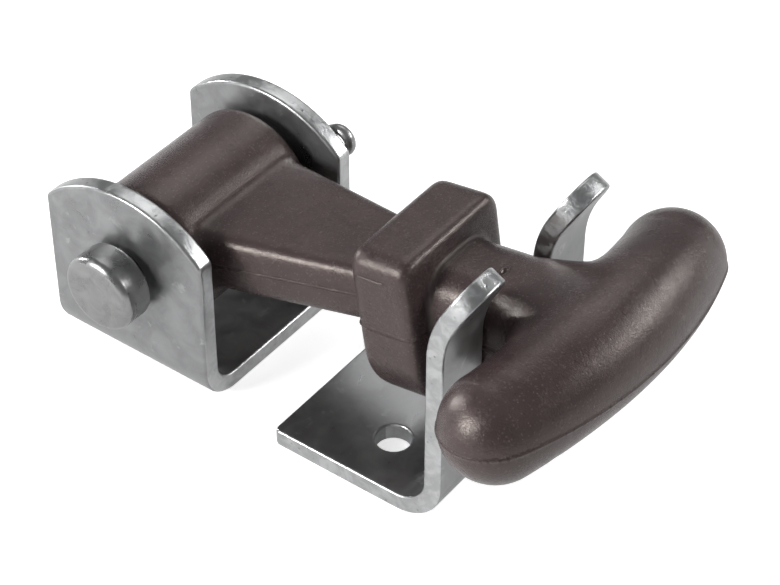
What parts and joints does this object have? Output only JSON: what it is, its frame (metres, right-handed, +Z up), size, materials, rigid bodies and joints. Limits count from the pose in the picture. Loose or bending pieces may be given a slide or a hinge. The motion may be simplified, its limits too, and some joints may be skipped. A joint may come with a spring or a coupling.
{
  "type": "case draw latch",
  "caption": "Flexible draw latch: a T-handled rubber arm turns on a clevis pin in a U bracket and its neck is held in the fork of a hooked keeper.",
  "frame": {"origin": "on the U bracket's underside, midway between its two screw holes and below the pin axis", "axes": "+X along the latch from the U bracket to the T-handle, +Y across it along the pin, +Z up from the mounting surface"},
  "size_m": [0.0979, 0.059, 0.0468],
  "materials": {
    "bracket_steel": "satin",
    "pin_steel": "satin",
    "arm_rubber": "satin"
  },
  "bodies": {
    "brackets": {"anchor_bracket": "bracket_steel", "keeper_bracket": "bracket_steel"},
    "arm": {"pull_arm": "arm_rubber"},
    "pin": {"pivot_pin": "pin_steel", "split_pin": "pin_steel"}
  },
  "joints": [
    {"name": "arm_swing", "type": "hinge", "parent": "brackets", "child": "arm", "pos_m": [0, 0, 0.0196], "axis": [0, -1, 0], "range_deg": [0, 175], "deforming": ["pull_arm"]},
    {"name": "pin_turn", "type": "hinge", "parent": "brackets", "child": "pin", "pos_m": [0, 0, 0.0196], "axis": [0, -1, 0], "continuous": true}
  ]
}
